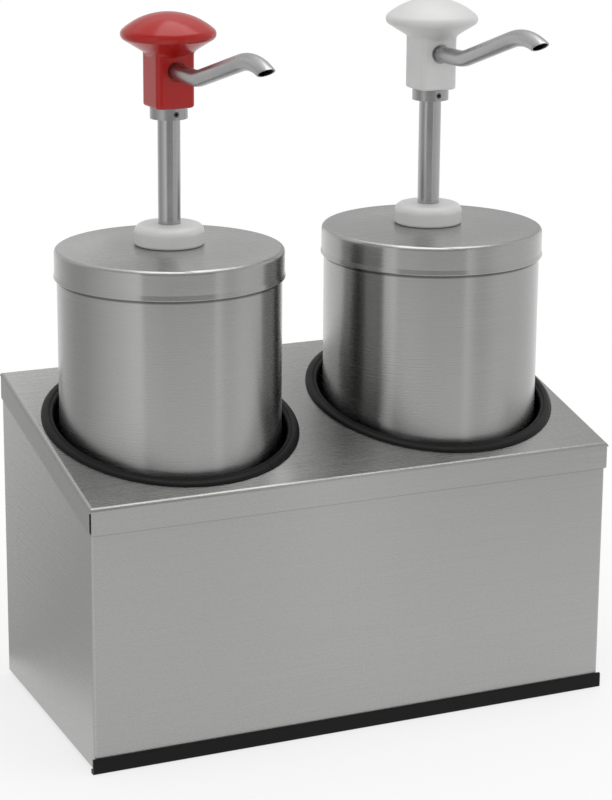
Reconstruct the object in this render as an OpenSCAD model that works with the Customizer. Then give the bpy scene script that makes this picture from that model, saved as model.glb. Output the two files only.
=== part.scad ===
// Twin jar and pump station. Two lidded steel jars stand in a steel box with a sloping top, and a
// plunger pump hangs in each lid. Millimetres, +Z up, +X to the right of a person who faces the
// front, +Y to the back. The origin is on the table, in the middle between the two foot strips.

/* [Housing] */
// Sheet thickness of the housing, the back panel and the cover
sheet_t = 1; // [0.8:0.1:1.5]
// Height of the sloping top at its front edge
front_h = 192; // [175:1:220]
// Rise of the sloping top from its front edge to its back edge
top_rise = 46; // [25:1:60]
// Width left between a trim ring and the side of the housing
side_margin = 3; // [2:0.5:30]
// Depth left between the trim rings and the front panel
front_margin = 8; // [4:0.5:40]
// Depth left between the trim rings and the back panel
back_margin = 4; // [3.5:0.5:40]
// Outer radius of the bends between the front panel and the side panels
corner_r = 2.5; // [2:0.1:6]
// Width of the return flanges at the back of the side panels
return_flange_w = 18; // [14:1:30]

/* [Cover] */
// Gap between the cover's flanges and the panels
cover_gap = 0.5; // [0.3:0.1:1]
// Height of the cover's folded flanges
cover_flange_h = 19; // [15:0.5:30]
// Outer radius of the cover's bends
cover_bend_r = 3; // [2.5:0.1:5]
// Distance from a corner at which the side flange starts, behind an open slit
corner_slit_w = 2.5; // [1.5:0.1:5]

/* [Trim rings] */
// Clear gap between a jar and the trim ring round it
trim_gap = 4; // [2:0.5:8]
// Width of the trim ring's band, seen from above
trim_w = 9; // [7:0.5:14]
// Rubber between the sheet's cut edge and the jar
trim_web = 3; // [2:0.5:5]
// Height of the band above the cover
trim_rise = 3.4; // [2:0.1:6]
// Depth of the band below the cover's sheet
trim_drop = 3; // [2:0.1:5]
// Steel between the two trim rings
trim_spacing = 22; // [8:1:80]
// Gap at the trim ring's butt joint
trim_joint_gap = 0.4; // [0.2:0.1:1]

/* [Foot strips] */
// Height of the rubber strips under the front and back panels
foot_h = 11; // [9:0.5:16]
// Rubber thickness under a panel's bottom edge
foot_web = 3; // [2:0.5:5]
// Rubber thickness in front of and behind a panel
foot_wall = 2; // [1.5:0.1:4]
// Length of the front strip that stands past a side panel
foot_end = 1.5; // [0:0.5:4]
// Length by which the back strip falls short of a side panel
back_foot_inset = 6; // [2:0.5:30]

/* [Shelf] */
// Height of the shelf that the jars stand on
shelf_h = 105; // [85:1:120]
// Sheet thickness of the shelf
shelf_t = 1.2; // [0.8:0.1:2]
// Height of the shelf's turned-down flanges
shelf_flange_h = 25; // [15:1:40]

/* [Rivets] */
// Diameter of the rivet shanks
rivet_d = 3.2; // [2.4:0.2:4]
// Diameter of the rivet heads
rivet_head_d = 6.5; // [5.5:0.1:8]
// Height of the rivet heads
rivet_head_h = 1.2; // [0.8:0.1:2]
// Distance between the rivets in the cover's back flange
cover_rivet_pitch = 160; // [100:5:180]

/* [Jars] */
// Outer diameter of a jar
jar_d = 160; // [140:1:180]
// Height of a jar
jar_h = 238; // [215:1:280]
// Sheet thickness of a jar
jar_t = 0.8; // [0.6:0.1:1.2]
// Outer radius of the bend between a jar's wall and its bottom
jar_base_r = 6; // [3:0.5:12]
// Diameter of the rolled rim
rim_bead_d = 2.2; // [1.8:0.1:3]

/* [Lids] */
// Gap between a jar's wall and the lid's skirt
lid_clearance = 1; // [0.9:0.1:3]
// Sheet thickness of a lid
lid_t = 0.8; // [0.6:0.1:1.2]
// Height of the lid's skirt
lid_skirt_h = 21; // [14:0.5:35]
// Outer radius of the lid's edge
lid_edge_r = 3; // [2:0.1:3]
// Height of the lid's pressed centre above its edge
lid_dome = 2; // [1:0.1:6]
// Width by which the skirt's hem flares out
lid_flare = 0.6; // [0.2:0.1:1.5]
// Height of the flared hem
lid_hem_h = 4; // [2:0.5:8]

/* [Guide bosses] */
// Outer diameter of the plastic boss on a lid
boss_d = 50; // [48:0.5:60]
// Height of the boss
boss_h = 15; // [13:0.5:24]
// Radius of the boss's top edge
boss_edge_r = 6; // [2:0.5:7]
// Radius of the boss's bottom edge
boss_foot_r = 2; // [0.5:0.1:2.5]
// Depth of the screwed socket in the boss's underside
boss_socket_h = 10; // [6:0.5:11]

/* [Pump cylinders] */
// Inner diameter of the pump cylinder
bore_d = 24; // [22:0.5:27]
// Wall thickness of the pump cylinder
cylinder_wall = 2; // [1:0.1:3]
// Diameter of the neck that screws into the boss
neck_d = 30; // [26:0.5:36]
// Diameter of the flange under the lid
flange_d = 48; // [48:0.5:54]
// Thickness of that flange
flange_t = 3; // [2:0.1:5]
// Thickness of the gasket between the flange and the lid
gasket_t = 1.5; // [1:0.1:3]
// Clearance round the neck in the lid's hole
neck_hole_gap = 3.3; // [3.3:0.1:4]
// Distance by which the right pump is clamped left of its lid's middle
right_pump_shift = 3.2; // [0:0.1:3.2]

/* [Plungers] */
// Working stroke of the plunger
stroke = 70; // [30:1:72]
// Length of rod that still shows above the boss at the end of the stroke
rod_reserve = 5; // [3:0.5:15]
// Extra height of the left head on its rod
left_head_lift = 0; // [0:0.5:6]
// Extra height of the right head on its rod
right_head_lift = 2; // [0:0.5:6]
// Outer diameter of the rod
rod_d = 16; // [13:0.5:17]
// Diameter of the rod's bore
rod_bore_d = 9; // [6:0.5:10]
// Depth of the rod's sockets in the piston
rod_socket_h = 8; // [5:0.5:12]
// Diameter of the seal ring's section
seal_d = 2.4; // [1.6:0.1:3]
// Outer diameter of the collar under the head
collar_d = 26.5; // [24:0.5:29]
// Height of the collar
collar_h = 8; // [6:0.5:12]
// Diameter of the set screw in the collar
set_screw_d = 4; // [3:0.5:5]

/* [Valves] */
// Diameter of the inlet ball
inlet_ball_d = 11; // [10:0.5:12]
// Diameter of the hole under the inlet ball
inlet_hole_d = 8; // [6:0.5:8.5]
// Diameter of the outlet ball
outlet_ball_d = 9; // [8:0.5:10]
// Diameter of the hole under the outlet ball
outlet_hole_d = 6; // [4:0.5:6.5]
// Height by which a ball lifts off its seat
valve_lift = 3; // [2:0.5:5]
// Thickness of plastic under a valve seat
seat_floor_t = 2.5; // [1.5:0.5:5]
// Length of the foot valve inside the cylinder
valve_insert_h = 12; // [8:0.5:15]

/* [Springs and suction tubes] */
// Diameter of the spring wire
spring_wire_d = 2; // [1.4:0.1:2.4]
// Mean diameter of the spring
spring_mean_d = 18.4; // [17:0.2:19]
// Number of turns of the spring
spring_turns = 9; // [6:1:12]
// Length that the spring keeps beyond its closed length at the end of the stroke
spring_reserve = 7; // [4:0.5:15]
// Thickness of the spring cap's disc and of the spring seat
spring_disc_t = 2; // [1.5:0.1:3]
// Outer diameter of the suction tube
suction_d = 16; // [14:0.5:18]
// Wall thickness of the suction tube
suction_wall = 1.5; // [1:0.1:2.5]
// Gap between the suction tube and the jar's bottom
inlet_gap = 8; // [4:0.5:20]

/* [Heads] */
// Width of the square neck of a head
head_w = 28.8; // [27:0.2:34]
// Radius of the neck's upright edges
head_edge_r = 4; // [2:0.5:7]
// Radius of the neck's bottom edges
head_foot_r = 2; // [1:0.5:4]
// Height of the palm cap's widest line above the neck's bottom
cap_widest_h = 50.9; // [46:0.1:70]
// Diameter of the palm cap
cap_d = 67; // [60:0.5:80]
// Height of the palm cap's top above its widest line
cap_crown_h = 15.3; // [11:0.1:25]
// Radius of the palm cap's rim
cap_rim_r = 4.5; // [3:0.5:6]
// Slope of the palm cap's underside, in degrees
cap_under_a = 31.6; // [20:0.1:40]
// Turn of the left head to the right, in degrees
left_head_turn = 3; // [-20:0.1:20]
// Turn of the right head to the right, in degrees
right_head_turn = 1.3; // [-20:0.1:20]

/* [Spouts] */
// Outer diameter of the spout tube
spout_d = 11.6; // [10:0.1:14]
// Wall thickness of the spout tube
spout_wall = 1; // [0.8:0.1:2]
// Height of the spout's axis above the neck's bottom
spout_h = 26.5; // [22:0.1:30]
// Distance from the rod's axis to the start of the upward bend
spout_run = 43; // [30:1:60]
// Radius of the upward bend, at the tube's axis
spout_up_r = 38; // [15:1:60]
// Upward slope of the spout, in degrees
spout_rise_a = 17; // [10:0.5:35]
// Length of the sloping stretch
spout_slope_l = 65; // [30:1:90]
// Radius of the downward bend, at the tube's axis
spout_down_r = 58; // [40:1:90]
// Downward slope at the outlet, in degrees
spout_fall_a = 21; // [18:0.5:40]
// Slope of the cut across the outlet, in degrees
spout_cut_a = 27; // [20:0.5:45]
// Tilt of the left spout in its head, in degrees
left_spout_tilt = -1; // [-2:0.1:2]
// Tilt of the right spout in its head, in degrees
right_spout_tilt = 1; // [-2:0.1:2]

/* [Fits] */
// Radial clearance between pieces fixed to each other
fixed_gap = 0.05; // [0.02:0.01:0.1]
// Radial clearance between pieces that slide or turn in each other
running_gap = 0.08; // [0.05:0.01:0.1]
// Gap between loose pieces that rest on each other
rest_gap = 0.3; // [0.2:0.05:0.5]

/* [Hidden] */
$fn = 96;

// The two pumps, as factors on X
left = -1;
right = 1;

// Steps in a drawn bend, rings round a trim ring, and points across half of its band
bend_steps = 8;
trim_rings = 60;
band_steps = 6;
// Rings in a turn of the spring, and points round its wire
spring_steps = 12;
wire_points = 6;
// Points round a spout
spout_points = 32;
// Extra length of every cut
overrun = 1;

// Plan of the housing, worked out from the jars and the rings round them
jar_r = jar_d / 2;
trim_in_r = jar_r + trim_gap;
trim_out_r = trim_in_r + trim_w;
cut_edge_r = trim_in_r + trim_web;
housing_w = 4 * trim_out_r + 2 * side_margin + trim_spacing;
housing_d = 2 * trim_out_r + front_margin + back_margin;
half_w = housing_w / 2;
half_d = housing_d / 2;
jar_x = trim_out_r + trim_spacing / 2;
jar_y = front_margin + trim_out_r - half_d;
front_strip_l = housing_w + 2 * foot_end;
back_strip_l = housing_w - 2 * back_foot_inset;

// The cover and its slope
cover_w = housing_w + 2 * (cover_gap + sheet_t);
cover_d = housing_d + 2 * (cover_gap + sheet_t);
back_h = front_h + top_rise;
slope = top_rise / cover_d;
slope_a = atan(slope);
sheet_drop = sheet_t / cos(slope_a);
block_l = cover_d + 2 * back_h;
function top_z(y) = front_h + (y + cover_d / 2) * slope;

// Heights of the lid and the pump, from the shelf upwards and then down into the jar
rim_z = shelf_h + jar_h;
lid_r = jar_r + lid_clearance + lid_t;
lid_top_z = rim_z + rest_gap + lid_t;
boss_z = lid_top_z + lid_dome;
boss_top_z = boss_z + boss_h;
gasket_z = boss_z - lid_t - gasket_t;
roof_z = gasket_z - flange_t;
bore_r = bore_d / 2;
cylinder_r = bore_r + cylinder_wall;
neck_r = neck_d / 2;
rod_r = rod_d / 2;
rod_bore_r = rod_bore_d / 2;

// A ball on a seat that flares at 45 degrees: the ball's centre lies its radius times the root of
// two above the point of that cone
outlet_ball_r = outlet_ball_d / 2;
outlet_hole_r = outlet_hole_d / 2;
outlet_rest = outlet_ball_r * sqrt(2) - outlet_hole_r + rest_gap;
outlet_chamber_h = outlet_rest + outlet_ball_r + valve_lift + rest_gap;
inlet_ball_r = inlet_ball_d / 2;
inlet_hole_r = inlet_hole_d / 2;
inlet_rest = inlet_ball_r * sqrt(2) - inlet_hole_r + rest_gap;
inlet_chamber_h = inlet_rest + inlet_ball_r + valve_lift + rest_gap;
ball_side_gap = 1;

piston_h = seat_floor_t + outlet_chamber_h + rod_socket_h;
piston_top_z = roof_z - rest_gap;
piston_z = piston_top_z - piston_h;
piston_r = bore_r - running_gap;
spring_top_z = piston_z - spring_disc_t;
spring_rest_l = stroke + (spring_turns + 1) * spring_wire_d + spring_reserve;
spring_z = spring_top_z - spring_rest_l;
valve_top_z = spring_z - spring_disc_t;
cylinder_z = valve_top_z - valve_insert_h;
inlet_seat_z = valve_top_z - inlet_chamber_h;
suction_top_z = inlet_seat_z - seat_floor_t;
suction_z = shelf_h + jar_t + inlet_gap;
suction_r = suction_d / 2;
suction_socket_h = 8;
valve_nipple_wall = 2.5;
valve_flange_t = 3;

spout_r = spout_d / 2;
function head_lift(side) = side < 0 ? left_head_lift : right_head_lift;
function head_turn(side) = side < 0 ? left_head_turn : right_head_turn;
function spout_tilt(side) = side < 0 ? left_spout_tilt : right_spout_tilt;
function collar_z(side) = boss_top_z + stroke + rod_reserve + head_lift(side);
function head_z(side) = collar_z(side) + collar_h;
// The rod ends below the spout and the spout ends beside the rod's bore, with plastic between them
head_web_t = 2;
rod_end_gap = spout_r + head_web_t;
spout_root = rod_bore_r + head_web_t / 2;
head_recess_gap = 1.3;
head_recess_h = 1.5;

// Points along an arc about c, from angle a to angle b
function arc(c, r, a, b) =
    [for (i = [0:bend_steps]) c + r * [cos(a + (b - a) * i / bend_steps), sin(a + (b - a) * i / bend_steps)]];

// Triangles between n rings of m points, from each ring to the next, over a number of links: with n
// links the last ring joins the first. The points run anticlockwise as seen along the way.
function link_faces(n, m, links) = concat(
    [for (i = [0:links - 1], j = [0:m - 1])
        [i * m + j, i * m + (j + 1) % m, (i + 1) % n * m + (j + 1) % m]],
    [for (i = [0:links - 1], j = [0:m - 1])
        [i * m + j, (i + 1) % n * m + (j + 1) % m, (i + 1) % n * m + j]]
);
// The same for a solid bar through n rings, with its flat ends
function bar_faces(n, m) = concat(
    [[for (j = [m - 1:-1:0]) j], [for (j = [0:m - 1]) (n - 1) * m + j]],
    link_faces(n, m, n - 1)
);

// A Y and Z outline drawn out along X
module along_x(w) {
    rotate([90, 0, 90]) linear_extrude(height = w, center = true) children();
}

// A child moved to the axis of one jar, or of one pump
module at_jar(side, z) {
    translate([side * jar_x, jar_y, z]) children();
}
module at_pump(side, z) {
    translate([side * jar_x - (side > 0 ? right_pump_shift : 0), jar_y, z]) children();
}

// The same, turned with that pump's head, with the spout's direction along local +X
module at_head(side, z) {
    at_pump(side, z) rotate([0, 0, head_turn(side) - 90]) children();
}

// Side view of the sloping block, set in from the cover's outside by one thickness or by none
function side_outline(inset, front_floor, back_floor) = concat(
    [[inset - cover_d / 2, front_floor]],
    arc([cover_bend_r - cover_d / 2, top_z(cover_bend_r - cover_d / 2) - cover_bend_r / cos(slope_a)],
        cover_bend_r - inset, 180, 90 + slope_a),
    arc([cover_d / 2 - cover_bend_r, top_z(cover_d / 2 - cover_bend_r) - cover_bend_r / cos(slope_a)],
        cover_bend_r - inset, 90 + slope_a, 0),
    [[cover_d / 2 - inset, back_floor]]
);

// The same block seen along the slope, measured down from the cover's top face
function end_outline(inset) = concat(
    [[cover_w / 2 - inset, -back_h - overrun]],
    arc([cover_w / 2 - cover_bend_r, -cover_bend_r], cover_bend_r - inset, 0, 90),
    arc([cover_bend_r - cover_w / 2, -cover_bend_r], cover_bend_r - inset, 90, 180),
    [[inset - cover_w / 2, -back_h - overrun]]
);

module sloping_block(inset, front_floor, back_floor) {
    intersection() {
        along_x(cover_w + overrun) polygon(side_outline(inset, front_floor, back_floor));
        translate([0, 0, top_z(0)]) rotate([90 + slope_a, 0, 0])
            linear_extrude(height = block_l, center = true) polygon(end_outline(inset));
    }
}

// All the space under the cover's sheet, down past the table
module under_cover() {
    sloping_block(sheet_t, -overrun, -overrun);
}

// Plan outline with rounded front corners, set in from the housing's outside
function plan_outline(inset, back_y) = concat(
    [[half_w - inset, back_y], [inset - half_w, back_y]],
    arc([corner_r - half_w, corner_r - half_d], corner_r - inset, 180, 270),
    arc([half_w - corner_r, corner_r - half_d], corner_r - inset, 270, 360)
);

// Places of the rivets that hold the back panel to a return flange: two under the shelf, two above
rivet_shares = [1 / 3, 2 / 3];
shelf_low_z = shelf_h - shelf_flange_h;
back_rivet_z = concat(
    [for (s = rivet_shares) foot_h + (shelf_low_z - foot_h) * s],
    [for (s = rivet_shares) shelf_h + (back_h - cover_flange_h - shelf_h) * s]
);
back_rivet_x = half_w - sheet_t - (return_flange_w - sheet_t) / 2;
cover_rivet_z = back_h - cover_flange_h + rivet_head_d;

module at_back_rivets() {
    for (x = [-back_rivet_x, back_rivet_x], z = back_rivet_z) translate([x, half_d, z]) children();
}

module at_cover_rivets() {
    for (i = [-1:1])
        translate([i * cover_rivet_pitch, half_d + cover_gap + sheet_t, cover_rivet_z]) children();
}

// A hole for a rivet, from its head's seat towards the front
module rivet_hole() {
    translate([0, overrun, 0]) rotate([90, 0, 0])
        cylinder(d = rivet_d + 2 * fixed_gap, h = 2 * (overrun + sheet_t) + cover_gap);
}

// A rivet with its domed head outside and its upset end inside
module rivet(grip) {
    crown_r = (rivet_head_d * rivet_head_d / 4 + rivet_head_h * rivet_head_h) / (2 * rivet_head_h);
    rotate([-90, 0, 0]) {
        rotate_extrude() intersection() {
            square([rivet_head_d / 2, rivet_head_h]);
            translate([0, rivet_head_h - crown_r]) circle(r = crown_r);
        }
        translate([0, 0, -grip]) cylinder(d = rivet_d, h = grip);
        translate([0, 0, -grip - rivet_head_h]) cylinder(d = (rivet_d + rivet_head_d) / 2, h = rivet_head_h);
    }
}

// Front and side panels folded from one sheet, with return flanges at the back
module housing() {
    back_y = half_d - sheet_t;
    color("silver") difference() {
        intersection() {
            translate([0, 0, foot_web]) linear_extrude(height = back_h) difference() {
                polygon(plan_outline(0, back_y));
                difference() {
                    polygon(plan_outline(sheet_t, back_y + overrun));
                    for (side = [left, right]) translate([side * half_w, back_y - sheet_t / 2])
                        square([2 * return_flange_w, sheet_t], center = true);
                }
            }
            under_cover();
        }
        translate([0, back_y, 0]) cube(
            [housing_w - 2 * sheet_t, 2 * sheet_t + overrun, 2 * (foot_h + rest_gap)], center = true);
        at_back_rivets() rivet_hole();
    }
}

module back_panel() {
    color("silver") difference() {
        intersection() {
            translate([-half_w, half_d - sheet_t, foot_web]) cube([housing_w, sheet_t, back_h]);
            under_cover();
        }
        at_back_rivets() rivet_hole();
        at_cover_rivets() rivet_hole();
    }
}

// Sloping cover with four folded flanges, an open slit at each corner, and a hole for each jar. At a
// corner the front or back flange ends level with the side flange's inner face.
module top_cover() {
    cut_w = sheet_t + cover_gap / 2 + overrun;
    cut_d = corner_slit_w + overrun;
    cut_x = cover_w / 2 + overrun - cut_w / 2;
    cut_y = cover_d / 2 + overrun - cut_d / 2;
    color("silver") difference() {
        sloping_block(0, front_h - cover_flange_h, back_h - cover_flange_h);
        under_cover();
        for (side = [left, right]) {
            translate([side * jar_x, jar_y, 0]) cylinder(r = cut_edge_r + fixed_gap, h = back_h + overrun);
            for (y = [-cut_y, cut_y]) translate([side * cut_x, y, top_z(y) - cover_bend_r - cover_flange_h])
                cube([cut_w, cut_d, 2 * cover_flange_h], center = true);
        }
        at_cover_rivets() rivet_hole();
    }
}

// Upturned tray between the panels, which the jars stand on
module jar_shelf() {
    back_y = half_d - 2 * sheet_t;
    color("darkgray") difference() {
        translate([0, 0, shelf_low_z]) linear_extrude(height = shelf_flange_h)
            polygon(plan_outline(sheet_t, back_y));
        translate([0, 0, shelf_low_z - overrun]) linear_extrude(height = shelf_flange_h + overrun - shelf_t)
            polygon(plan_outline(sheet_t + shelf_t, back_y - shelf_t));
    }
}

// Half ellipses above and below the sheet, joined on the jar's side, with a groove for the sheet that
// clears its two faces
band_mid_r = trim_in_r + trim_w / 2;
trim_section = concat(
    [for (i = [0:band_steps]) [band_mid_r + trim_w / 2 * cos(180 * i / band_steps),
        fixed_gap + trim_rise * sin(180 * i / band_steps)]],
    [for (i = [0:band_steps]) [band_mid_r - trim_w / 2 * cos(180 * i / band_steps),
        -sheet_drop - fixed_gap - trim_drop * sin(180 * i / band_steps)]],
    [[cut_edge_r, -sheet_drop - fixed_gap], [cut_edge_r, fixed_gap]]
);

// Round in plan, and raised with the slope of the cover. The butt joints lie at this angle from +X,
// to the front on the left ring and to the back on the right one.
trim_joint_a = 61;
module trim_ring(side, joint_a) {
    opening_a = 360 * trim_joint_gap / (2 * PI * band_mid_r);
    m = len(trim_section);
    points = [for (i = [0:trim_rings], p = trim_section)
        let (a = joint_a + opening_a / 2 + (360 - opening_a) * i / trim_rings)
        [side * jar_x + p.x * cos(a), jar_y + p.x * sin(a), top_z(jar_y + p.x * sin(a)) + p.y]];
    color("dimgray") polyhedron(points, bar_faces(trim_rings + 1, m));
}

// U strip of this length pushed on to a panel's bottom edge, drawn for the front panel. Its inner wall
// ends short of the corner bends.
module foot_strip(length) {
    round_r = foot_wall / 2;
    front_y = -half_d - foot_wall;
    inner_w = min(length, housing_w - 2 * (corner_r + fixed_gap));
    color("dimgray") {
        along_x(length) polygon(concat(
            [[sheet_t + foot_wall - half_d, 0], [sheet_t + foot_wall - half_d, foot_web]],
            [[-half_d, foot_web], [-half_d, foot_h]],
            arc([front_y + round_r, foot_h - round_r], round_r, 90, 180),
            arc([front_y + round_r, round_r], round_r, 180, 270)
        ));
        translate([-inner_w / 2, sheet_t - half_d, 0]) cube([inner_w, foot_wall, foot_h]);
    }
}

module back_rivets() {
    color("gainsboro") at_back_rivets() rivet(2 * sheet_t);
}

module cover_rivets() {
    color("gainsboro") at_cover_rivets() rivet(2 * sheet_t + cover_gap);
}

// Drawn steel jar with a rim rolled inwards
module jar(side) {
    bead_r = rim_bead_d / 2;
    wall_h = jar_h - bead_r;
    color("lightgray") at_jar(side, shelf_h) rotate_extrude() {
        polygon(concat(
            [[0, 0]],
            arc([jar_r - jar_base_r, jar_base_r], jar_base_r, -90, 0),
            [[jar_r, wall_h], [jar_r - jar_t, wall_h]],
            arc([jar_r - jar_base_r, jar_base_r], jar_base_r - jar_t, 0, -90),
            [[0, jar_t]]
        ));
        translate([jar_r - bead_r, wall_h]) circle(r = bead_r, $fn = 32);
    }
}

// Lid with a flat middle that falls in a soft curve to a flat border, and a skirt that ends in a
// flared hem with a rounded edge
dome_seat_w = 4;
dome_border_w = 4;
dome_in_r = boss_d / 2 + dome_seat_w;
dome_out_r = lid_r - lid_edge_r - dome_border_w;
function dome_z(r) = lid_dome * (1 + cos(180 * (r - dome_in_r) / (dome_out_r - dome_in_r))) / 2;
module lid(side) {
    steps = 2 * bend_steps;
    hole_r = neck_r + neck_hole_gap;
    dome = [for (i = [0:steps]) let (r = dome_in_r + (dome_out_r - dome_in_r) * i / steps) [r, dome_z(r)]];
    edge = [lid_r - lid_edge_r, -lid_edge_r];
    color("lightgray") at_jar(side, lid_top_z) rotate_extrude() polygon(concat(
        [[hole_r, lid_dome]],
        dome,
        arc(edge, lid_edge_r, 90, 0),
        [[lid_r, lid_hem_h - lid_skirt_h]],
        arc([lid_r + lid_flare - lid_t, lid_t - lid_skirt_h], lid_t, 0, -90),
        [[lid_r - lid_t, lid_hem_h - lid_skirt_h]],
        arc(edge, lid_edge_r - lid_t, 0, 90),
        [for (i = [steps:-1:0]) dome[i] - [0, lid_t]],
        [[hole_r, lid_dome - lid_t]]
    ));
}

// Plastic boss that screws down on the cylinder's neck and guides the rod
module guide_boss(side) {
    guide_r = rod_r + running_gap;
    color("white") at_pump(side, boss_z) rotate_extrude() polygon(concat(
        [[neck_r + fixed_gap, 0]],
        arc([boss_d / 2 - boss_foot_r, boss_foot_r], boss_foot_r, -90, 0),
        arc([boss_d / 2 - boss_edge_r, boss_h - boss_edge_r], boss_edge_r, 0, 90),
        [[guide_r, boss_h], [guide_r, boss_socket_h], [neck_r + fixed_gap, boss_socket_h]]
    ));
}

module lid_gasket(side) {
    color("darkgray") at_pump(side, gasket_z) difference() {
        cylinder(d = flange_d, h = gasket_t);
        translate([0, 0, -overrun]) cylinder(r = neck_r + fixed_gap, h = gasket_t + 2 * overrun);
    }
}

// Neck, flange and tube of the pump, in one piece
module pump_cylinder(side) {
    neck_bore_r = rod_r + cylinder_wall / 4;
    neck_top_z = boss_z + boss_socket_h - rest_gap;
    color("lightgray") at_pump(side, 0) rotate_extrude() polygon([
        [neck_bore_r, neck_top_z], [neck_r, neck_top_z],
        [neck_r, gasket_z], [flange_d / 2, gasket_z],
        [flange_d / 2, roof_z], [cylinder_r, roof_z],
        [cylinder_r, cylinder_z], [bore_r, cylinder_z],
        [bore_r, roof_z], [neck_bore_r, roof_z]
    ]);
}

// Plug in the cylinder's end, with the inlet ball's seat and chamber and a socket for the tube
module foot_valve(side) {
    plug_r = bore_r - fixed_gap;
    chamber_r = inlet_ball_r + ball_side_gap;
    socket_r = suction_r + fixed_gap;
    socket_z = suction_top_z - suction_socket_h;
    color("white") at_pump(side, 0) rotate_extrude() polygon([
        [chamber_r, valve_top_z], [plug_r, valve_top_z],
        [plug_r, cylinder_z], [cylinder_r, cylinder_z],
        [cylinder_r, cylinder_z - valve_flange_t],
        [socket_r + valve_nipple_wall, cylinder_z - valve_flange_t],
        [socket_r + valve_nipple_wall, socket_z], [socket_r, socket_z],
        [socket_r, suction_top_z], [inlet_hole_r, suction_top_z],
        [inlet_hole_r, inlet_seat_z], [chamber_r, inlet_seat_z + chamber_r - inlet_hole_r]
    ]);
}

module inlet_ball(side) {
    color("gainsboro") at_pump(side, inlet_seat_z + inlet_rest) sphere(r = inlet_ball_r);
}

// Disc with flow holes, which the spring stands on and the inlet ball stops against
module spring_seat(side) {
    hole_r = bore_r / 5;
    color("silver") at_pump(side, valve_top_z) difference() {
        cylinder(r = bore_r - fixed_gap, h = spring_disc_t);
        for (a = [0:120:240]) rotate([0, 0, a]) translate([bore_r / 2, 0, -overrun])
            cylinder(r = hole_r, h = spring_disc_t + 2 * overrun);
    }
}

// Dip tube, cut at a slant at its lower end
module suction_tube(side) {
    color("silver") at_pump(side, 0) difference() {
        translate([0, 0, suction_z]) cylinder(r = suction_r, h = suction_top_z - suction_z);
        translate([0, 0, suction_z - overrun])
            cylinder(r = suction_r - suction_wall, h = suction_top_z - suction_z + 2 * overrun);
        translate([-suction_r, 0, suction_z]) rotate([0, 45, 0])
            cube([suction_d, 2 * suction_d, suction_d], center = true);
    }
}

// Height of the spring's wire after a number of turns: the end turns lie close, the rest are even
spring_wire_r = spring_wire_d / 2;
end_pitch = spring_wire_d + rest_gap;
wire_travel = spring_rest_l - spring_wire_d - 2 * fixed_gap;
open_pitch = (wire_travel - 2 * end_pitch) / (spring_turns - 2);
function wire_z(t) = t < 1 ? end_pitch * t
    : t > spring_turns - 1 ? wire_travel - end_pitch * (spring_turns - t)
    : end_pitch + open_pitch * (t - 1);
module return_spring(side) {
    rings = spring_turns * spring_steps;
    points = [for (i = [0:rings], j = [0:wire_points - 1])
        let (a = 360 * i / spring_steps, b = 360 * j / wire_points)
        let (r = spring_mean_d / 2 + spring_wire_r * cos(b))
        [r * cos(a), r * sin(a), wire_z(i / spring_steps) + spring_wire_r * sin(b)]];
    color("silver") at_pump(side, spring_z + spring_wire_r + fixed_gap)
        polyhedron(points, bar_faces(rings + 1, wire_points));
}

// Thrust washer between the spring and the turning piston, with a spigot inside the spring
module spring_cap(side) {
    spigot_r = spring_mean_d / 2 - spring_wire_r - rest_gap;
    spigot_h = 2 * spring_disc_t;
    color("white") at_pump(side, spring_top_z) difference() {
        union() {
            cylinder(r = bore_r - rest_gap, h = spring_disc_t);
            translate([0, 0, -spigot_h]) cylinder(r = spigot_r, h = spigot_h);
        }
        translate([0, 0, -spigot_h - overrun])
            cylinder(r = outlet_hole_r + ball_side_gap, h = spigot_h + spring_disc_t + 2 * overrun);
    }
}

// Height of the seal's groove up the piston
seal_z = piston_z + piston_h / 2;
module piston(side) {
    socket_r = rod_r + fixed_gap;
    chamber_r = outlet_ball_r + ball_side_gap;
    outlet_seat_z = piston_z + seat_floor_t;
    rod_z = piston_top_z - rod_socket_h;
    groove_r = piston_r - seal_d;
    color("white") at_pump(side, 0) rotate_extrude() difference() {
        polygon([
            [outlet_hole_r, piston_z], [piston_r, piston_z],
            [piston_r, piston_top_z], [socket_r, piston_top_z],
            [socket_r, rod_z], [chamber_r, rod_z],
            [chamber_r, outlet_seat_z + chamber_r - outlet_hole_r], [outlet_hole_r, outlet_seat_z]
        ]);
        translate([groove_r, seal_z - seal_d / 2 - fixed_gap])
            square([seal_d + overrun, seal_d + 2 * fixed_gap]);
    }
}

module piston_seal(side) {
    ring_r = bore_r - running_gap / 2 - seal_d / 2;
    color("dimgray") at_pump(side, seal_z)
        rotate_extrude() translate([ring_r, 0]) circle(d = seal_d, $fn = 32);
}

module outlet_ball(side) {
    color("gainsboro") at_pump(side, piston_z + seat_floor_t + outlet_rest) sphere(r = outlet_ball_r);
}

// Hollow rod, with crossed notches at its foot so that the lifted ball can't close it
module rod(side) {
    rod_z = piston_top_z - rod_socket_h;
    rod_top_z = head_z(side) + spout_h - rod_end_gap;
    notch_w = rod_bore_r / 2;
    color("silver") at_pump(side, 0) difference() {
        translate([0, 0, rod_z]) cylinder(r = rod_r, h = rod_top_z - rod_z);
        translate([0, 0, rod_z - overrun]) cylinder(r = rod_bore_r, h = rod_top_z - rod_z + 2 * overrun);
        for (a = [0, 90]) translate([0, 0, rod_z]) rotate([0, 0, a])
            cube([2 * rod_d, notch_w, 2 * notch_w], center = true);
    }
}

// Clamping collar under the head, drilled for its set screw on the spout's side
module collar(side) {
    color("silver") at_head(side, collar_z(side)) difference() {
        cylinder(d = collar_d, h = collar_h);
        translate([0, 0, -overrun]) cylinder(r = rod_r + fixed_gap, h = collar_h + 2 * overrun);
        translate([0, 0, collar_h / 2]) rotate([0, 90, 0])
            cylinder(d = set_screw_d + 2 * fixed_gap, h = collar_d);
    }
}

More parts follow.
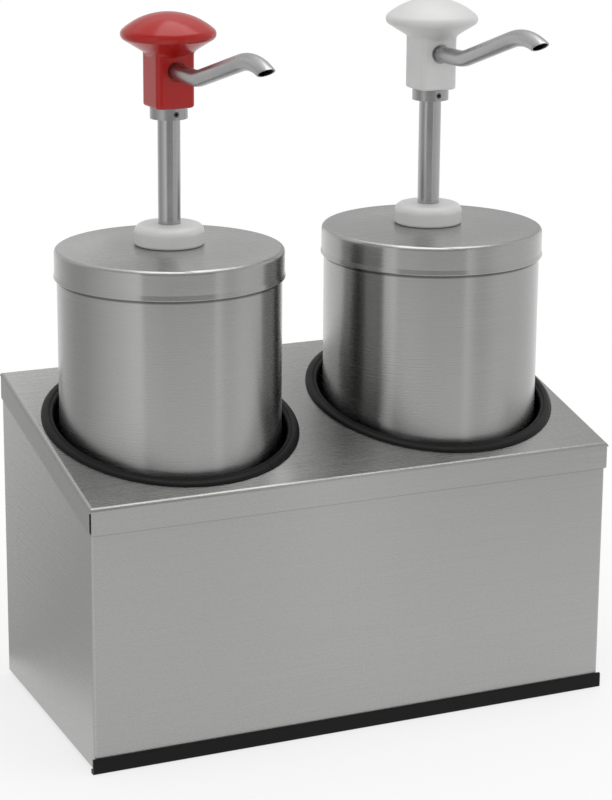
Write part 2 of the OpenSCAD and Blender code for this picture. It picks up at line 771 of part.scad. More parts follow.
// Headless screw with a hexagon socket, held against the rod
hexagon_share = 0.55;
module set_screw(side) {
    socket_d = set_screw_d * hexagon_share;
    foot = rod_r + fixed_gap;
    screw_l = collar_d / 2 - rest_gap - foot;
    color("gray") at_head(side, collar_z(side) + collar_h / 2) rotate([0, 90, 0]) difference() {
        translate([0, 0, foot]) cylinder(d = set_screw_d, h = screw_l);
        translate([0, 0, foot + screw_l / 2]) cylinder(d = socket_d, h = screw_l, $fn = 6);
    }
}

// Outline of a head's neck from the front or the side, with rounded bottom edges
module neck_elevation() {
    polygon(concat(
        arc([head_w / 2 - head_foot_r, head_foot_r], head_foot_r, -90, 0),
        [[head_w / 2, cap_widest_h], [-head_w / 2, cap_widest_h]],
        arc([head_foot_r - head_w / 2, head_foot_r], head_foot_r, 180, 270)
    ));
}

// Square plastic neck with rounded edges under a palm cap. The cap's crown is one arc that runs into
// the rim, and its underside is a cone that leaves the rim without a corner.
module head(side) {
    edge = head_w / 2 - head_edge_r;
    rim_x = cap_d / 2 - cap_rim_r;
    crown_r = (rim_x * rim_x + cap_crown_h * cap_crown_h - cap_rim_r * cap_rim_r)
        / (2 * (cap_crown_h - cap_rim_r));
    crown_a = asin(rim_x / (crown_r - cap_rim_r));
    rim_in = rim_x + cap_rim_r * sin(cap_under_a);
    under_z = cap_widest_h - cap_rim_r * cos(cap_under_a);
    rod_top = spout_h - rod_end_gap;
    color(side < 0 ? "firebrick" : "whitesmoke") at_head(side, head_z(side)) difference() {
        union() {
            intersection() {
                linear_extrude(height = cap_widest_h) polygon(concat(
                    arc([edge, edge], head_edge_r, 0, 90), arc([-edge, edge], head_edge_r, 90, 180),
                    arc([-edge, -edge], head_edge_r, 180, 270), arc([edge, -edge], head_edge_r, 270, 360)
                ));
                rotate([90, 0, 0]) linear_extrude(height = 2 * head_w, center = true) neck_elevation();
                rotate([90, 0, 90]) linear_extrude(height = 2 * head_w, center = true) neck_elevation();
            }
            rotate_extrude() polygon(concat(
                [[0, under_z - rim_in * tan(cap_under_a)]],
                arc([rim_x, cap_widest_h], cap_rim_r, cap_under_a - 90, 90 - crown_a),
                arc([0, cap_widest_h + cap_crown_h - crown_r], crown_r, 90 - crown_a, 90)
            ));
        }
        translate([0, 0, -overrun]) cylinder(r = rod_r + fixed_gap, h = rod_top + overrun);
        cylinder(r = rod_bore_r, h = spout_h);
        translate([0, 0, spout_h]) rotate([0, 90 - spout_tilt(side), 0]) {
            cylinder(r = spout_r + fixed_gap, h = head_w);
            translate([0, 0, head_w / 2 - head_recess_h]) cylinder(r = spout_r + head_recess_gap, h = head_w);
        }
    }
}

// The spout runs in the plane of X and Z from the rod's axis: a level run, a bend up, a slope, and a
// bend down to the outlet, where a plane cuts it so that the upper edge stands further out.
slope_start = [spout_run + spout_up_r * sin(spout_rise_a), spout_up_r * (1 - cos(spout_rise_a))];
slope_end = slope_start + spout_slope_l * [cos(spout_rise_a), sin(spout_rise_a)];
fall_centre = slope_end + spout_down_r * [sin(spout_rise_a), -cos(spout_rise_a)];

// One ring of the tube at place c, where the tube rises at angle a
function spout_ring(r, c, a) =
    [for (j = [0:spout_points - 1]) let (n = r * sin(360 * j / spout_points))
        [c.x - n * sin(a), -r * cos(360 * j / spout_points), c.y + n * cos(a)]];

// One ring of the bend down, where each line along the tube has run this share of its way to the cut
function fall_ring(r, share) =
    [for (j = [0:spout_points - 1])
        let (line_r = spout_down_r + r * sin(360 * j / spout_points))
        let (end_a = spout_cut_a - acos(spout_down_r * cos(spout_fall_a + spout_cut_a) / line_r))
        let (a = spout_rise_a + (end_a - spout_rise_a) * share)
        [fall_centre.x - line_r * sin(a), -r * cos(360 * j / spout_points), fall_centre.y + line_r * cos(a)]];

function spout_rings(r) = concat(
    [spout_ring(r, [spout_root, 0], 0)],
    [for (i = [0:bend_steps]) let (a = spout_rise_a * i / bend_steps)
        spout_ring(r, [spout_run + spout_up_r * sin(a), spout_up_r * (1 - cos(a))], a)],
    [for (i = [0:bend_steps]) fall_ring(r, i / bend_steps)]
);

// Bent tube: out along its outer wall and back along its bore
module spout(side) {
    outer = spout_rings(spout_r);
    inner = spout_rings(spout_r - spout_wall);
    last = len(outer) - 1;
    rings = concat(outer, [for (i = [last:-1:0]) inner[i]]);
    color("darkgray") at_head(side, head_z(side) + spout_h) rotate([0, -spout_tilt(side), 0])
        polyhedron([for (ring = rings, p = ring) p], link_faces(len(rings), spout_points, len(rings)));
}

housing();
back_panel();
top_cover();
jar_shelf();
trim_ring(left, -trim_joint_a);  // left_trim_ring
trim_ring(right, trim_joint_a);  // right_trim_ring
foot_strip(front_strip_l);  // front_foot_strip
mirror([0, 1, 0]) foot_strip(back_strip_l);  // back_foot_strip
back_rivets();
cover_rivets();
jar(left);  // left_jar
lid(left);  // left_lid
guide_boss(left);  // left_guide_boss
lid_gasket(left);  // left_lid_gasket
pump_cylinder(left);  // left_pump_cylinder
foot_valve(left);  // left_foot_valve
inlet_ball(left);  // left_inlet_ball
spring_seat(left);  // left_spring_seat
suction_tube(left);  // left_suction_tube
return_spring(left);  // left_return_spring
spring_cap(left);  // left_spring_cap
piston(left);  // left_piston
piston_seal(left);  // left_piston_seal
outlet_ball(left);  // left_outlet_ball
rod(left);  // left_rod
collar(left);  // left_collar
set_screw(left);  // left_set_screw
head(left);  // left_head
spout(left);  // left_spout
jar(right);  // right_jar
lid(right);  // right_lid
guide_boss(right);  // right_guide_boss
lid_gasket(right);  // right_lid_gasket
pump_cylinder(right);  // right_pump_cylinder
foot_valve(right);  // right_foot_valve
inlet_ball(right);  // right_inlet_ball
spring_seat(right);  // right_spring_seat
suction_tube(right);  // right_suction_tube
return_spring(right);  // right_return_spring
spring_cap(right);  // right_spring_cap
piston(right);  // right_piston
piston_seal(right);  // right_piston_seal
outlet_ball(right);  // right_outlet_ball
rod(right);  // right_rod
collar(right);  // right_collar
set_screw(right);  // right_set_screw
head(right);  // right_head
spout(right);  // right_spout
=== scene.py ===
"""Looks of a twin jar and pump station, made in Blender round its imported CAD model.

Lengths are in metres in the CAD model's own frame: +X to the right of a person who faces the front,
+Y to the back, +Z up, with the origin on the table. New pieces stand for the trim rings, the heads,
the spouts and the return springs. Every other CAD node is shown as it is, with a finish of its own.
"""

import math

import bpy
import numpy as np
from bpy.props import FloatProperty, FloatVectorProperty, IntProperty, PointerProperty
from mathutils import Matrix, Vector


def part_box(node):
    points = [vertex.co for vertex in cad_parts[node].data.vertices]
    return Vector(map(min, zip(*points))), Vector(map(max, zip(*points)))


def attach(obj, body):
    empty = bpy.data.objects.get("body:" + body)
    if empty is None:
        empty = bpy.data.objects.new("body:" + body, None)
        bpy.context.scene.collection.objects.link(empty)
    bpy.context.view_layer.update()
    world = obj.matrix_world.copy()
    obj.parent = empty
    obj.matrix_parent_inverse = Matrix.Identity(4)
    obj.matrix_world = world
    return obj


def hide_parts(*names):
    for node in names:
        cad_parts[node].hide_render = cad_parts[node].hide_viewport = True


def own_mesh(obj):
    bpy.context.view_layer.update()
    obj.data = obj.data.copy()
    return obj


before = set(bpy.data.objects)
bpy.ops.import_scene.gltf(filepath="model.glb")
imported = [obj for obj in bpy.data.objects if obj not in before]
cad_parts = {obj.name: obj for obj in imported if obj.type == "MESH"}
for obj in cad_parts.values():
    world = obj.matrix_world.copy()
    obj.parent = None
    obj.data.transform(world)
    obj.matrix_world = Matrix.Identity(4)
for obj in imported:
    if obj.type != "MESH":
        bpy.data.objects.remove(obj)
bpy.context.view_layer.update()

bl_info = {
    "name": "Twin jar and pump station",
    "version": (1, 0, 0),
    "blender": (4, 5, 0),
    "location": "3D View > Sidebar > Pump station",
    "description": "Finishes and fine pieces for a station with two lidded jars and two plunger pumps",
    "category": "Object",
}

SIDES = ("left", "right")
# Sizes of the CAD cover: its height at the front, its rise to the back, its flanges and its sheet
COVER_FRONT, COVER_RISE, COVER_FLANGE, SHEET = 0.192, 0.046, 0.019, 0.001
# Gap between a new piece and the CAD sheet or tube that it holds
FIXED_GAP = 0.00005
# Scale of the noise of the brush lines, along a line and across it
ALONG, ACROSS = 14.0, 2400.0
# Painted shade by height over the cover's flange and over the lid's hem: distance and lightness. Under the
# flange's edge it is a painted shadow line, and above the edge, on the sheet behind the flange, painted
# dark shade. Under the hem it is a painted shadow band on the jar.
FLANGE_PAINTED_SHADE = ((-0.0016, 1.0), (-0.0008, 0.62), (0.0, 0.62), (0.001, 0.12))
HEM_PAINTED_SHADOW = ((-0.0026, 1.0), (-0.0014, 0.35), (0.0, 0.35), (0.003, 1.0))


# Sizes that a user would change

def length(name, text, default, low=0.0, high=1.0):
    """A length in metres, as one property of a group."""
    return FloatProperty(name=name, description=text, default=default, min=low, max=high,
                         precision=5, subtype="DISTANCE", unit="LENGTH")


def angle(name, text, degrees):
    """An angle, as one property of a group, with its default in degrees."""
    return FloatProperty(name=name, description=text, default=math.radians(degrees), subtype="ANGLE",
                         unit="ROTATION")


def share(name, text, default, high=1.0):
    """A plain number without a unit, as one property of a group."""
    return FloatProperty(name=name, description=text, default=default, min=0.0, max=high)


def colour(name, text, default):
    """A linear colour, as one property of a group."""
    return FloatVectorProperty(name=name, description=text, default=default, size=3, min=0.0,
                               max=1.0, subtype="COLOR")


class FinishSettings(bpy.types.PropertyGroup):
    """Colours and gloss of the station's steel, plastic and rubber."""

    sheet_steel: colour("Sheet steel", "Brushed sheet of the housing and its cover", (0.40, 0.40, 0.394))
    jar_steel: colour("Jar steel", "Brushed steel of the jars and lids", (0.40, 0.40, 0.395))
    rod_steel: colour("Rod steel", "Smooth steel of the rods, spouts and collars", (0.42, 0.42, 0.42))
    red_plastic: colour("Red plastic", "Glossy plastic of the left head", (0.38, 0.011, 0.009))
    white_plastic: colour("White plastic", "Plastic of the right head and the bosses", (0.62, 0.62, 0.615))
    pump_plastic: colour("Pump plastic", "Plastic of the pistons and valves", (0.60, 0.60, 0.58))
    trim_rubber: colour("Trim rubber", "Rubber of the rings round the jars", (0.0045, 0.0045, 0.0048))
    foot_rubber: colour("Foot rubber", "Rubber of the strips under the panels", (0.0035, 0.0035, 0.0036))
    sheet_roughness: share("Sheet roughness", "Roughness of the brushed sheet", 0.27)
    jar_roughness: share("Jar roughness", "Roughness of the jars and lids", 0.26)
    rod_roughness: share("Rod roughness", "Roughness of the rods and spouts", 0.22)


class TrimSettings(bpy.types.PropertyGroup):
    """Section of the rubber rings in the cover's holes."""

    width: length("Band width", "Width of the band, seen from above", 0.009)
    rise: length("Rise", "Height of the band above the cover", 0.0034)
    drop: length("Drop", "Depth of the band below the cover's sheet", 0.003)
    web: length("Web", "Rubber between the sheet's cut edge and the jar", 0.003)
    inner_radius: length("Inner radius", "Radius of the opening that the jar stands in", 0.084)
    joint_gap: length("Joint gap", "Gap at the butt joint", 0.0004)
    joint_angle: angle("Joint angle", "Place of the butt joint, from the right of the jar", 61.0)
    groove_depth: length("Groove depth", "Depth of the groove along the inner lip", 0.0007)
    rings: IntProperty(name="Rings", description="Steps round a ring", default=288, min=48, max=720)


class HeadSettings(bpy.types.PropertyGroup):
    """Shape of the plastic heads that are pressed by hand."""

    width: length("Neck width", "Width of the square neck", 0.0288)
    edge_radius: length("Edge radius", "Radius of the neck's upright edges", 0.004)
    foot_radius: length("Foot radius", "Radius of the neck's bottom edges", 0.002)
    widest: length("Widest height", "Height of the cap's widest line above the neck's bottom", 0.0509)
    cap_radius: length("Cap radius", "Radius of the palm cap", 0.0335)
    crown: length("Crown", "Height of the cap's top above its widest line", 0.0153)
    rim_radius: length("Rim radius", "Radius of the cap's rim", 0.0045)
    under_angle: angle("Under slope", "Slope of the cap's underside", 31.6)
    blend: share("Fillet sharpness", "Sharpness of the fillet between neck and cap", 15.0, 60.0)
    bore: length("Bore", "Radius of the bore that holds the rod", 0.00805)
    roof: length("Roof", "Plastic between the rod's bore and the spout's hole", 0.002)
    recess: length("Recess", "Radius by which the spout's hole widens at its mouth", 0.0013)
    recess_depth: length("Recess depth", "Depth of the wider mouth of the spout's hole", 0.0015)
    left_turn: angle("Left turn", "Turn of the left head to the right", 3.0)
    right_turn: angle("Right turn", "Turn of the right head to the right", 1.3)


class SpoutSettings(bpy.types.PropertyGroup):
    """Bent tubes in the heads."""

    radius: length("Tube radius", "Outer radius of the tube", 0.0058)
    wall: length("Wall", "Wall thickness of the tube", 0.001)
    height: length("Height", "Height of the tube's axis above the neck's bottom", 0.0265)
    root: length("Root", "Distance from the rod's axis to the tube's inner end", 0.0055)
    run: length("Level run", "Distance from the rod's axis to the upward bend", 0.043)
    up_radius: length("Upward bend", "Radius of the upward bend", 0.038)
    slope_length: length("Sloping length", "Length of the sloping stretch", 0.065)
    down_radius: length("Downward bend", "Radius of the downward bend", 0.058)
    rise_angle: angle("Rise", "Upward slope of the tube", 17.0)
    fall_angle: angle("Fall", "Downward slope at the outlet", 21.0)
    cut_angle: angle("Cut", "Slope of the cut across the outlet", 27.0)
    left_tilt: angle("Left tilt", "Tilt of the left spout in its head", -1.0)
    right_tilt: angle("Right tilt", "Tilt of the right spout in its head", 1.0)


class SpringSettings(bpy.types.PropertyGroup):
    """Return springs in the pump cylinders."""

    mean_radius: length("Coil radius", "Radius of the coil at the middle of the wire", 0.0092)
    wire_radius: length("Wire radius", "Radius of the wire", 0.001)
    turns: IntProperty(name="Turns", description="Number of turns", default=9, min=4, max=16)
    end_pitch: length("End pitch", "Height of one end turn", 0.0023)
    closed_share: share("Closed share", "Length after the stroke, as a share of the rest length", 0.274)


class StudioSettings(bpy.types.PropertyGroup):
    """Floor, lamps and camera."""

    floor_size: length("Floor size", "Side of the pale floor", 24.0, 1.0, 100.0)
    sky_level: share("Sky level", "Brightness of the even light from all round", 0.58, 4.0)
    top_level: share("Top level", "Brightness of the softbox overhead", 2.0, 20.0)
    key_level: share("Key level", "Brightness of the softbox on the left", 1.6, 20.0)
    fill_level: share("Fill level", "Brightness of the softbox on the right", 1.0, 20.0)
    lens: FloatProperty(name="Focal length", description="Focal length of the camera", default=107.28,
                        min=10.0, max=500.0, subtype="DISTANCE_CAMERA", unit="CAMERA")
    yaw: angle("Camera yaw", "Turn of the camera from straight ahead, to the right", 24.14)
    pitch: angle("Camera pitch", "Slope of the camera, downwards", 13.90)
    roll: angle("Camera roll", "Roll of the camera", 0.43)
    shift: FloatProperty(name="Vertical shift", description="Shift of the frame against the lens",
                         default=-0.1, min=-0.5, max=0.5)
    place: FloatVectorProperty(name="Camera place", description="Where the camera stands", size=3,
                               default=(-0.691, -1.545, 0.700), subtype="TRANSLATION", unit="LENGTH")


class StationSettings(bpy.types.PropertyGroup):
    """All settings of the pump station."""

    finish: PointerProperty(type=FinishSettings, name="Finish", description="Colours and gloss")
    trim: PointerProperty(type=TrimSettings, name="Trim rings", description="Rubber rings")
    head: PointerProperty(type=HeadSettings, name="Heads", description="Plastic heads")
    spout: PointerProperty(type=SpoutSettings, name="Spouts", description="Bent tubes")
    spring: PointerProperty(type=SpringSettings, name="Springs", description="Return springs")
    studio: PointerProperty(type=StudioSettings, name="Studio", description="Floor, lamps, camera")


# Meshes from whole arrays

def grid_faces(rows, columns, first=0, around=True, along=False):
    """Quads between neighbouring points of a grid that is stored row by row from point number first.
    Point (i, j) is joined with (i, j + 1), (i + 1, j + 1) and (i + 1, j). Columns close on themselves
    if around is true, and rows if along is true."""
    i = np.arange(rows if along else rows - 1)[:, None]
    j = np.arange(columns if around else columns - 1)[None, :]
    below, next_row, next_column = i * columns, (i + 1) % rows * columns, (j + 1) % columns
    quads = np.stack([below + j, below + next_column, next_row + next_column, next_row + j], axis=-1)
    return quads.reshape(-1, 4) + first


def fan_faces(centre, ring, flip=False):
    """Triangles from one centre point to each side of a closed ring of point numbers."""
    ends = np.roll(ring, -1)
    fan = np.stack([np.full(len(ring), centre), ring, ends], axis=-1)
    return fan[:, ::-1] if flip else fan


def build_piece(name, points, quads, others=(), sharp=50.0):
    """A mesh object of these points, quads and other faces, shaded smooth except at edges sharper than
    that many degrees. Its place is in its mesh."""
    faces = quads.tolist() + [np.asarray(face).tolist() for face in others]
    mesh = bpy.data.meshes.new(name)
    mesh.from_pydata(np.asarray(points, float).reshape(-1, 3).tolist(), [], faces)
    mesh.validate()
    mesh.shade_smooth()
    mesh.set_sharp_from_angle(angle=math.radians(sharp))
    piece = bpy.data.objects.new(name, mesh)
    bpy.context.scene.collection.objects.link(piece)
    return piece


def write_vectors(piece, name, vectors):
    """Stores one vector for each point of a piece, for its material to read."""
    attribute = piece.data.attributes.new(name, "FLOAT_VECTOR", "POINT")
    attribute.data.foreach_set("vector", np.asarray(vectors, np.float32).reshape(-1))


def dress(piece, body, slot, material, *nodes):
    """Gives a piece its material and body, and hides the CAD nodes that it stands for. The slot is not
    used.
    """
    piece.data.materials.clear()
    piece.data.materials.append(material)
    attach(piece, body)
    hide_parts(*nodes)


def paint(material, *nodes):
    """Gives CAD nodes a material in place of their own."""
    for name in nodes:
        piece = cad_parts[name]
        for place in piece.material_slots:
            place.material = material
        if not piece.material_slots:
            piece.data.materials.append(material)


def both(*names):
    """The left and the right node of each of these names."""
    return [f"{side}_{name}" for side in SIDES for name in names]


def node_axis(name):
    """The upright line through the middle of a CAD node, as X and Y."""
    low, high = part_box(name)
    return np.array([(low.x + high.x) / 2, (low.y + high.y) / 2])


def cover_slope():
    """Slope of the cover's top face: its rise over its depth."""
    low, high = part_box("top_cover")
    return COVER_RISE / (high.y - low.y)


def cover_height(y):
    """Height of the cover's top face at a depth y: it rises evenly from the front edge to the back."""
    return COVER_FRONT + (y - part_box("top_cover")[0].y) * cover_slope()


# Materials

def add(tree, kind, sockets=None, **settings):
    """Adds one node with these settings. A socket takes a value, or another node's output."""
    made = tree.nodes.new(kind)
    for key, value in settings.items():
        setattr(made, key, value)
    for key, value in (sockets or {}).items():
        if isinstance(value, bpy.types.NodeSocket):
            tree.links.new(value, made.inputs[key])
        else:
            made.inputs[key].default_value = value
    return made


def blank(name, rough, metal, **plain):
    """A new material with a few plain values on its shader."""
    material = bpy.data.materials.new(name)
    material.use_nodes = True
    shader = material.node_tree.nodes["Principled BSDF"]
    shader.inputs["Roughness"].default_value = rough
    shader.inputs["Metallic"].default_value = metal
    for key, value in plain.items():
        shader.inputs[key.replace("_", " ")].default_value = value
    return material, material.node_tree, shader


def noise(tree, place, scale, detail=3.0, rough=0.5):
    """Noise of this scale over a place, from 0 to 1."""
    return add(tree, "ShaderNodeTexNoise", {"Vector": place, "Scale": scale, "Detail": detail,
                                            "Roughness": rough}).outputs["Fac"]


def mapped(tree, value, low, high, from_low=0.25, from_high=0.75):
    """A value stretched from one span to another, and held at its ends."""
    return add(tree, "ShaderNodeMapRange", {"Value": value, "From Min": from_low, "From Max": from_high,
                                            "To Min": low, "To Max": high}).outputs["Result"]


def maths(tree, operation, first, second):
    """One sum on two values."""
    return add(tree, "ShaderNodeMath", {0: first, 1: second}, operation=operation).outputs[0]


def tone(tree, base, value, spread):
    """A colour that varies in lightness by this share on both sides of its base."""
    dark = [c * (1 - spread) for c in base] + [1.0]
    light = [min(1.0, c * (1 + spread)) for c in base] + [1.0]
    mixed = add(tree, "ShaderNodeMix", data_type="RGBA")
    tree.links.new(value, mixed.inputs[0])
    mixed.inputs[6].default_value = dark
    mixed.inputs[7].default_value = light
    return mixed.outputs[2]


def bump(tree, shader, height, depth, strength=1.0):
    """Raises the surface by a height from 0 to 1, times a depth in metres."""
    made = add(tree, "ShaderNodeBump", {"Height": height, "Distance": depth, "Strength": strength})
    tree.links.new(made.outputs["Normal"], shader.inputs["Normal"])


def stretched(tree, vector, scale):
    """A place scaled by a different factor on each axis."""
    return add(tree, "ShaderNodeMapping", {"Vector": vector, "Scale": scale}).outputs["Vector"]


def brushed_steel(name, base, rough, grain, painted_shade_bands=(), lean=0.0, depth=0.000008):
    """Steel with fine brush lines, which spread a reflection across themselves. The lines run level on
    upright faces. With the grain 'lid' they run along X on faces that look up, and with 'cover' also
    straight down the folded sides. The pattern is noise that is stretched a few hundred times along the
    lines. The bands are pairs of height and lightness for painted shade: the steel's lightness runs evenly
    from one height to the next, which paints the shadow and shade under an edge into its colour. The
    heights are those at Y = 0, and they lean upwards to the back with this slope."""
    material, tree, shader = blank(name, rough, 1.0, Anisotropic=0.9)
    source = add(tree, "ShaderNodeTexCoord")
    place = level = stretched(tree, source.outputs["Object"], (ALONG, ALONG, ACROSS))
    over_the_top = 0.0
    if grain in ("lid", "cover"):
        across = stretched(tree, source.outputs["Object"], (ALONG, ACROSS, ALONG))
        normal = add(tree, "ShaderNodeSeparateXYZ", {0: source.outputs["Normal"]})
        axis, test = ("Z", "GREATER_THAN") if grain == "lid" else ("Y", "LESS_THAN")
        over_the_top = maths(tree, test, maths(tree, "ABSOLUTE", normal.outputs[axis], 0.0), 0.7)
        choice = add(tree, "ShaderNodeMix", data_type="VECTOR")
        tree.links.new(over_the_top, choice.inputs[0])
        tree.links.new(level, choice.inputs[4])
        tree.links.new(across, choice.inputs[5])
        place = choice.outputs[1]
    upright = maths(tree, "SUBTRACT", 1.0, over_the_top)
    spread_way = add(tree, "ShaderNodeCombineXYZ", {"Y": over_the_top, "Z": upright})
    tree.links.new(spread_way.outputs[0], shader.inputs["Tangent"])
    fine = noise(tree, place, 1.0, 4.0, 0.65)
    cloud = noise(tree, source.outputs["Object"], 14.0, 3.0)
    streak = maths(tree, "ADD", maths(tree, "MULTIPLY", fine, 0.8), maths(tree, "MULTIPLY", cloud, 0.2))
    shade = tone(tree, base, mapped(tree, streak, 0.0, 1.0, 0.3, 0.7), 0.07)
    height = add(tree, "ShaderNodeVectorMath", {0: source.outputs["Object"], 1: (0.0, -lean, 1.0)},
                 operation="DOT_PRODUCT").outputs["Value"]
    # Painted shade: the steel's colour is darkened band by band with height, for the shadow under an edge
    for low, high in zip(painted_shade_bands, painted_shade_bands[1:]):
        part = mapped(tree, height, 1.0, high[1] / low[1], low[0], high[0])
        shade = add(tree, "ShaderNodeVectorMath", {0: shade, "Scale": part},
                    operation="SCALE").outputs["Vector"]
    tree.links.new(shade, shader.inputs["Base Color"])
    spread = maths(tree, "ADD", mapped(tree, fine, -0.04, 0.04), mapped(tree, cloud, -0.02, 0.02))
    tree.links.new(maths(tree, "ADD", spread, rough), shader.inputs["Roughness"])
    bump(tree, shader, fine, depth)
    return material


def turned_steel(name, base, rough, lines=2500.0, depth=0.000008):
    """Smooth turned steel: faint level lines from the lathe over a soft cloud of polish."""
    material, tree, shader = blank(name, rough, 1.0)
    source = add(tree, "ShaderNodeTexCoord")
    line = noise(tree, stretched(tree, source.outputs["Object"], (8.0, 8.0, lines)), 1.0, 3.0)
    cloud = noise(tree, source.outputs["Object"], 60.0, 3.0)
    tree.links.new(tone(tree, base, mapped(tree, line, 0.0, 1.0), 0.04), shader.inputs["Base Color"])
    spread = maths(tree, "ADD", mapped(tree, line, -0.03, 0.03), mapped(tree, cloud, -0.04, 0.04))
    tree.links.new(maths(tree, "ADD", spread, rough), shader.inputs["Roughness"])
    bump(tree, shader, line, depth)
    return material


def drawn_steel(name, base, rough, depth=0.000003):
    """Drawn tube or wire, with faint lines along it. It reads the piece's own attribute tube_place:
    distance along the tube, and two distances across it."""
    material, tree, shader = blank(name, rough, 1.0)
    source = add(tree, "ShaderNodeAttribute", attribute_name="tube_place")
    line = noise(tree, stretched(tree, source.outputs["Vector"], (25.0, 1500.0, 1500.0)), 1.0, 3.0)
    cloud = noise(tree, stretched(tree, source.outputs["Vector"], (60.0, 200.0, 200.0)), 1.0, 2.0)
    tree.links.new(tone(tree, base, mapped(tree, line, 0.0, 1.0), 0.05), shader.inputs["Base Color"])
    spread = maths(tree, "ADD", mapped(tree, line, -0.04, 0.04), mapped(tree, cloud, -0.05, 0.05))
    tree.links.new(maths(tree, "ADD", spread, rough), shader.inputs["Roughness"])
    bump(tree, shader, line, depth)
    return material


def moulded_plastic(name, base, rough, peel=0.00003, grain=700.0, spread=0.02, **plain):
    """Moulded plastic: a slow unevenness under the gloss, and a fine speckle in its roughness."""
    material, tree, shader = blank(name, rough, 0.0, **plain)
    place = add(tree, "ShaderNodeTexCoord").outputs["Object"]
    slow = noise(tree, place, 90.0, 2.0)
    fine = noise(tree, place, grain, 3.0)
    tree.links.new(tone(tree, base, mapped(tree, slow, 0.0, 1.0), spread), shader.inputs["Base Color"])
    tree.links.new(mapped(tree, fine, rough - 0.04, rough + 0.05), shader.inputs["Roughness"])
    height = maths(tree, "ADD", maths(tree, "MULTIPLY", slow, 0.85), maths(tree, "MULTIPLY", fine, 0.15))
    bump(tree, shader, height, peel)
    return material


def moulded_rubber(name, base, rough, pores=1800.0, depth=0.00004):
    """Matt rubber: fine pores, and a dusty cloud in its colour."""
    material, tree, shader = blank(name, rough, 0.0, Specular_IOR_Level=0.18)
    place = add(tree, "ShaderNodeTexCoord").outputs["Object"]
    pore = noise(tree, place, pores, 2.0)
    cloud = noise(tree, place, 35.0, 4.0)
    tree.links.new(tone(tree, base, mapped(tree, cloud, 0.0, 1.0), 0.25), shader.inputs["Base Color"])
    tree.links.new(mapped(tree, cloud, rough - 0.08, rough + 0.08), shader.inputs["Roughness"])
    bump(tree, shader, pore, depth, 0.6)
    return material


# Pieces

class STATION_OT_finish_panels(bpy.types.Operator):
    """Brushed steel on the housing, the cover, the back panel and the shelf, and bright rivets"""

    bl_idname = "station.finish_panels"
    bl_label = "Finish the panels"

    def execute(self, context):
        finish = context.scene.station.finish
        # Painted shade on the housing: a painted shadow line just under the cover's flange, and painted
        # dark shade on the sheet behind the flange, which shows in the corner slits
        edge = cover_height(0.0) - COVER_FLANGE
        shade_to_paint = [(edge + distance, light) for distance, light in FLANGE_PAINTED_SHADE]
        sheet = brushed_steel("sheet_steel", finish.sheet_steel, finish.sheet_roughness, "level",
                              shade_to_paint, cover_slope())
        cover = brushed_steel("cover_steel", finish.sheet_steel, finish.sheet_roughness, "cover")
        paint(sheet, "housing", "back_panel")
        paint(cover, "top_cover")
        dull = [c * 0.85 for c in finish.sheet_steel]
        paint(brushed_steel("shelf_steel", dull, finish.sheet_roughness + 0.06, "lid"), "jar_shelf")
        paint(turned_steel("rivet_steel", finish.rod_steel, finish.rod_roughness + 0.1, 900.0),
              "back_rivets", "cover_rivets")
        return {"FINISHED"}


class STATION_OT_finish_feet(bpy.types.Operator):
    """Black rubber on the strips under the front and back panels"""

    bl_idname = "station.finish_feet"
    bl_label = "Finish the foot strips"

    def execute(self, context):
        finish = context.scene.station.finish
        paint(moulded_rubber("foot_rubber", finish.foot_rubber, 0.42),
              "front_foot_strip", "back_foot_strip")
        return {"FINISHED"}


def trim_section(trim, steps=14):
    """Closed outline of a trim ring's band, as radius and height above the cover. Above and below the
    sheet it is half a flattened ellipse, cos(t) and sin(t) to the power 0.8, with a narrow bell-shaped
    groove behind the inner lip. On the outside a slot takes the sheet."""
    sheet = SHEET / math.cos(math.atan(cover_slope())) + FIXED_GAP
    middle, half = trim.inner_radius + trim.width / 2, trim.width / 2
    t = np.linspace(0.0, math.pi, 4 * steps + 1)
    across = half * np.cos(t)
    up = trim.rise * np.sin(t).clip(0.0) ** 0.8
    groove = -0.42 * half
    up = up - trim.groove_depth * np.exp(-(((across - groove) / (0.09 * trim.width)) ** 2))
    top = np.stack([middle + across, FIXED_GAP + up.clip(0.0)], axis=-1)
    t = np.linspace(0.0, math.pi, 2 * steps + 1)
    bottom = np.stack([middle - half * np.cos(t), -sheet - trim.drop * np.sin(t)], axis=-1)
    edge = trim.inner_radius + trim.web
    slot = np.array([[edge, -sheet], [edge, FIXED_GAP]])
    return np.concatenate([top, bottom, slot])


class STATION_OT_make_trim_rings(bpy.types.Operator):
    """Rubber rings in the cover's two holes, each with a lip, a groove and a butt joint"""

    bl_idname = "station.make_trim_rings"
    bl_label = "Make the trim rings"

    def execute(self, context):
        """The section (radius r, height h) goes round the jar's axis from one side of the joint to the
        other: x = r cos a, y = r sin a, z = the cover's height at y, plus h. Both ends are closed."""
        settings = context.scene.station
        trim = settings.trim
        section = trim_section(trim)
        rubber = moulded_rubber("trim_rubber", settings.finish.trim_rubber, 0.46)
        count = len(section)
        for side, sign in zip(SIDES, (-1.0, 1.0)):
            axis = node_axis(f"{side}_jar")
            opening = trim.joint_gap / (trim.inner_radius + trim.width / 2)
            a = sign * trim.joint_angle + np.linspace(opening / 2, 2 * math.pi - opening / 2, trim.rings)
            x = axis[0] + section[None, :, 0] * np.cos(a)[:, None]
            y = axis[1] + section[None, :, 0] * np.sin(a)[:, None]
            points = np.stack([x, y, cover_height(y) + section[None, :, 1]], axis=-1).reshape(-1, 3)
            quads = grid_faces(trim.rings, count)
            ends = [np.arange(count)[::-1], (trim.rings - 1) * count + np.arange(count)]
            piece = build_piece(f"{side}_rubber_ring", points, quads, ends, sharp=40.0)
            dress(piece, "housing", "trim_rubber", rubber, f"{side}_trim_ring")
        return {"FINISHED"}


